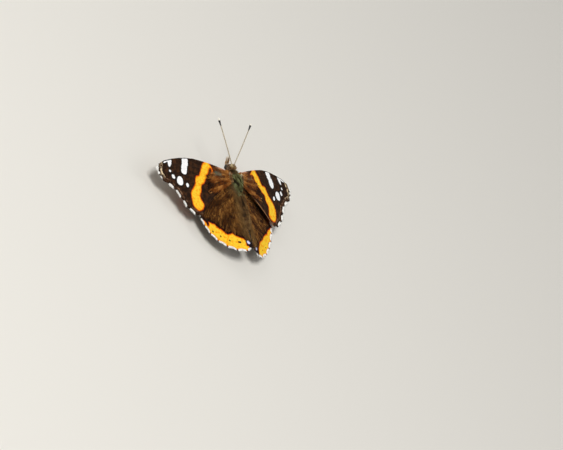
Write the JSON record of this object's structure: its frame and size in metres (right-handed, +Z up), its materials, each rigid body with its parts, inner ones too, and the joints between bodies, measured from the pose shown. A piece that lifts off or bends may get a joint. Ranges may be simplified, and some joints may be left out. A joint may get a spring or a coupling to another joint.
{
  "type": "red admiral butterfly",
  "caption": "Life-size still model of a red admiral butterfly standing with its wings spread almost flat and its antennae raised.",
  "frame": {"origin": "on the floor under the middle of the box round the whole animal", "axes": "+X to the butterfly's right, +Y forward to the head, +Z up"},
  "size_m": [0.064, 0.0372, 0.0143],
  "materials": {
    "head_coat": "short brown and grey hair, matt",
    "eyes": "dark brown compound eye, glossy",
    "antennae": "ringed cream and dark brown shaft, black club with a white tip",
    "palps": "tan scales and hair, matt",
    "proboscis": "dark brown horn, satin",
    "thorax_coat": "long olive and grey green hair, soft",
    "abdomen_coat": "grey brown hair over dark rings, soft",
    "legs": "brown scales, satin",
    "forewings": "dark brown wing scales with an orange band and white spots, matt",
    "hindwings": "brown wing scales and hair with an orange border, matt"
  },
  "bodies": {
    "root": {"head": "head_coat", "eye_left": "eyes", "eye_right": "eyes", "antenna_left": "antennae", "antenna_right": "antennae", "palp_left": "palps", "palp_right": "palps", "proboscis": "proboscis", "thorax": "thorax_coat", "abdomen": "abdomen_coat", "foreleg_left": "legs", "foreleg_right": "legs", "midleg_left": "legs", "midleg_right": "legs", "hindleg_left": "legs", "hindleg_right": "legs", "forewing_left": "forewings", "forewing_right": "forewings", "hindwing_left": "hindwings", "hindwing_right": "hindwings"}
  },
  "joints": []
}
